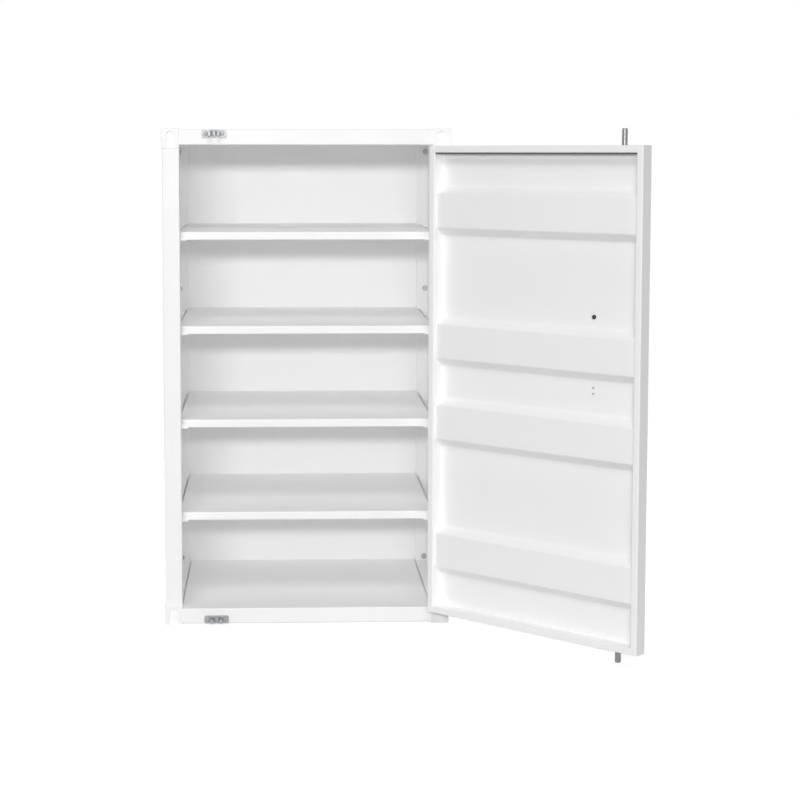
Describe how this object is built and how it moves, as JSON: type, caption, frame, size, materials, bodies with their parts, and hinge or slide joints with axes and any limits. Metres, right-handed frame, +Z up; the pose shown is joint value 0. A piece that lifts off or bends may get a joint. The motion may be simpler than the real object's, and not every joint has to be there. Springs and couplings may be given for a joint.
{
  "type": "metal storage cabinet",
  "caption": "Upright white steel storage cabinet in freight-container style: open shelves on folded angles behind one ribbed door with weld-on hinges and a full-height locking rod.",
  "frame": {"origin": "on the floor under the middle of the cabinet body, without its open door", "axes": "+Z up, -Y towards the user in front of the cabinet, +X towards the hinge side"},
  "size_m": [0.8094, 0.8235, 0.889],
  "materials": {
    "white_powder_coat": "semi-gloss powder coat",
    "zinc_plated_steel": "satin zinc plating",
    "black_rubber": "matt"
  },
  "bodies": {
    "cabinet": {"casting_front_right_bottom": "white_powder_coat", "casting_front_right_top": "white_powder_coat", "casting_front_left_bottom": "white_powder_coat", "casting_front_left_top": "white_powder_coat", "casting_rear_right_bottom": "white_powder_coat", "casting_rear_right_top": "white_powder_coat", "casting_rear_left_bottom": "white_powder_coat", "casting_rear_left_top": "white_powder_coat", "post_front_right": "white_powder_coat", "post_front_left": "white_powder_coat", "post_rear_right": "white_powder_coat", "post_rear_left": "white_powder_coat", "rail_front_bottom": "white_powder_coat", "rail_front_top": "white_powder_coat", "rail_rear_bottom": "white_powder_coat", "rail_rear_top": "white_powder_coat", "rail_right_bottom": "white_powder_coat", "rail_right_top": "white_powder_coat", "rail_left_bottom": "white_powder_coat", "rail_left_top": "white_powder_coat", "side_panel_right": "white_powder_coat", "side_panel_left": "white_powder_coat", "back_panel": "white_powder_coat", "floor_panel": "white_powder_coat", "roof_panel": "white_powder_coat", "shelf_1": "white_powder_coat", "shelf_2": "white_powder_coat", "shelf_3": "white_powder_coat", "shelf_4": "white_powder_coat", "shelf_angles_right": "white_powder_coat", "shelf_angles_left": "white_powder_coat", "hinge_post_leaf_1": "white_powder_coat", "hinge_post_leaf_2": "white_powder_coat", "hinge_post_leaf_3": "white_powder_coat", "hinge_pins": "zinc_plated_steel", "frame_screws": "zinc_plated_steel", "keeper_bottom": "zinc_plated_steel", "keeper_top": "zinc_plated_steel", "keeper_screws": "zinc_plated_steel"},
    "door": {"door_hinge_stile": "white_powder_coat", "door_free_stile": "white_powder_coat", "door_top_member": "white_powder_coat", "door_bottom_member": "white_powder_coat", "door_panel": "white_powder_coat", "door_top_seal": "black_rubber", "hinge_door_leaf_1": "white_powder_coat", "hinge_door_leaf_2": "white_powder_coat", "hinge_door_leaf_3": "white_powder_coat", "rod_guide_1": "white_powder_coat", "rod_guide_2": "white_powder_coat", "rod_guide_3": "white_powder_coat", "handle_rest": "zinc_plated_steel", "handle_rest_screws": "zinc_plated_steel", "catch_bolt": "zinc_plated_steel"},
    "lock_rod": {"lock_rod": "zinc_plated_steel", "handle_hub": "zinc_plated_steel", "handle_bar": "zinc_plated_steel", "handle_rivet": "zinc_plated_steel"},
    "swing_catch": {"swing_catch": "zinc_plated_steel"}
  },
  "joints": [
    {"name": "door_hinge", "type": "hinge", "parent": "cabinet", "child": "door", "pos_m": [0.232, -0.243, 0], "axis": [0, 0, 1], "range_deg": [-135, 40]},
    {"name": "lock_rod_turn", "type": "hinge", "parent": "door", "child": "lock_rod", "pos_m": [0.51166, -0.52125, 0], "axis": [0, 0, -1], "range_deg": [-60, 30]},
    {"name": "catch_swing", "type": "hinge", "parent": "door", "child": "swing_catch", "pos_m": [0.47136, -0.4965, 0.577], "axis": [-0.7071, -0.7071, 0], "range_deg": [-90, 90]}
  ]
}
